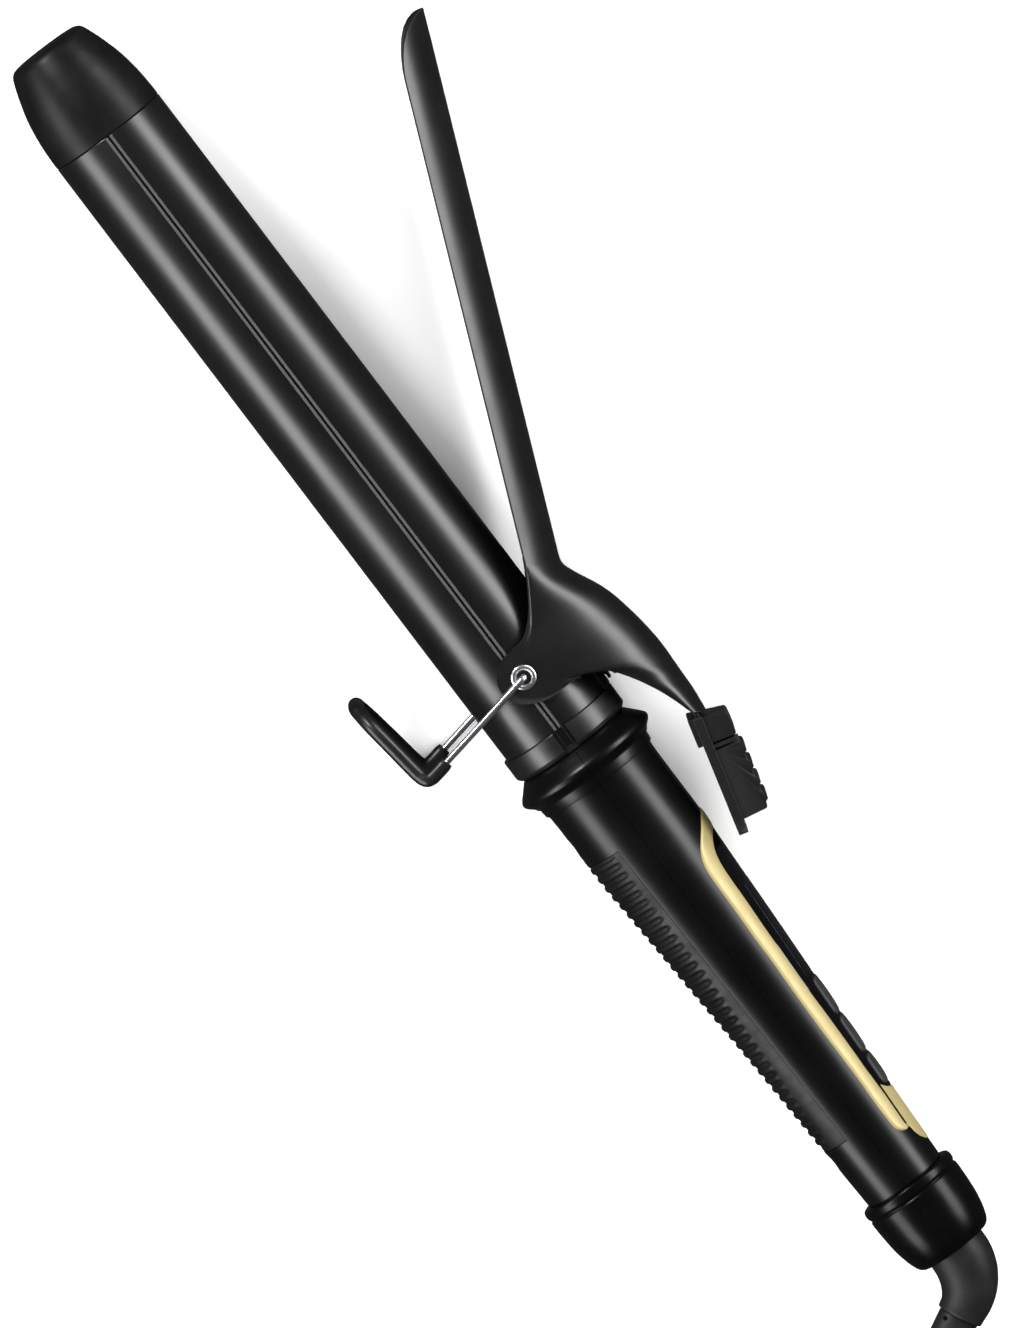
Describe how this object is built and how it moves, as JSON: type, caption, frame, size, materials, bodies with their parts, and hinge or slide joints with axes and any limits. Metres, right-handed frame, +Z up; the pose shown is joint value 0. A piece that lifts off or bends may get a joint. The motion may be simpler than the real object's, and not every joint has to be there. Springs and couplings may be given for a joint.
{
  "type": "curling iron",
  "caption": "Electric hair curling iron with a clamped barrel, thumb lever, wire stand, key panel, gold handle trim and a swivelling mains cord.",
  "frame": {"origin": "centre of the footprint of the iron without its cord, on the surface it lies on", "axes": "+X from the cool tip towards the cord, +Y towards the clamp's side, +Z up from the surface it lies on"},
  "size_m": [0.5249, 0.2027, 0.0396],
  "materials": {
    "tip_plastic": "semi-gloss",
    "barrel_coating": "satin gloss ceramic coating",
    "strip_metal": "satin",
    "heater_aluminium": "cast",
    "heater_film": "film-wrapped ceramic",
    "sensor_glass": "glazed",
    "lead_sleeving": "braided glass-fibre",
    "steel": "drawn",
    "eyelet_chrome": "polished",
    "base_plastic": "satin heat-proof plastic",
    "clamp_coating": "satin ceramic coating",
    "pad_plastic": "matte",
    "wire_chrome": "plated wire",
    "sleeve_rubber": "matte",
    "handle_plastic": "gloss",
    "screw_steel": "black oxide",
    "grip_rubber": "ribbed, satin",
    "trim_gold": "pale gold, bright",
    "panel_black": "high gloss",
    "lens_dark": "tinted, high gloss",
    "lcd_glass": "gloss",
    "board_green": "solder mask",
    "switch_plastic": "matte",
    "key_plastic": "semi-gloss",
    "contact_brass": "bright",
    "cap_plastic": "satin",
    "swivel_plastic": "satin",
    "cord_rubber": "smooth PVC"
  },
  "bodies": {
    "iron": {"cool_tip": "tip_plastic", "barrel": "barrel_coating", "barrel_strip": "strip_metal", "heater_block_upper": "heater_aluminium", "heater_block_lower": "heater_aluminium", "ptc_heater": "heater_film", "heat_sensor": "sensor_glass", "heater_leads": "lead_sleeving", "pivot_sleeve": "steel", "pivot_eyelets": "eyelet_chrome", "barrel_base": "base_plastic", "spring_seat": "base_plastic", "clamp_spring": "steel", "handle_shell_upper": "handle_plastic", "handle_shell_lower": "handle_plastic", "handle_screws": "screw_steel", "grip_insert": "grip_rubber", "trim_frame": "trim_gold", "trim_end_plate": "trim_gold", "control_panel": "panel_black", "display_lens": "lens_dark", "lcd_module": "lcd_glass", "circuit_board": "board_green", "key_switches": "switch_plastic", "end_cap": "cap_plastic", "brush_contacts": "contact_brass"},
    "clamp": {"clamp": "clamp_coating", "thumb_pad": "pad_plastic"},
    "stand": {"stand_wire": "wire_chrome", "stand_sleeve": "sleeve_rubber"},
    "power_key": {"power_button": "key_plastic"},
    "plus_key": {"plus_button": "key_plastic"},
    "minus_key": {"minus_button": "key_plastic"},
    "swivel": {"swivel_elbow": "swivel_plastic", "slip_rings": "contact_brass", "strain_relief": "cord_rubber", "power_cord": "cord_rubber", "cord_coil": "cord_rubber", "plug_body": "cord_rubber", "plug_blades": "contact_brass"}
  },
  "joints": [
    {"name": "clamp_pivot", "type": "hinge", "parent": "iron", "child": "clamp", "pos_m": [-0.00873, -0.0194, 0.01927], "axis": [-0.0189, 0, 0.9998], "range_deg": [-2, 23.2], "stiffness_Nm_per_rad": 0.86, "springref_deg": 33.23, "deforming": ["clamp_spring"]},
    {"name": "stand_pivot", "type": "hinge", "parent": "iron", "child": "stand", "pos_m": [-0.00873, -0.0194, 0.01927], "axis": [-0.0189, 0, 0.9998], "range_deg": [-30, 50]},
    {"name": "power_press", "type": "slide", "parent": "iron", "child": "power_key", "axis": [0, -1, 0], "range_m": [0, 0.0005], "stiffness_N_per_m": 2000},
    {"name": "plus_press", "type": "slide", "parent": "iron", "child": "plus_key", "axis": [0, -1, 0], "range_m": [0, 0.0005], "stiffness_N_per_m": 2000},
    {"name": "minus_press", "type": "slide", "parent": "iron", "child": "minus_key", "axis": [0, -1, 0], "range_m": [0, 0.0005], "stiffness_N_per_m": 2000},
    {"name": "cord_swivel", "type": "hinge", "parent": "iron", "child": "swivel", "pos_m": [0.16804, -0.0204, 0.02261], "axis": [0.9998, 0, 0.0189], "continuous": true}
  ]
}
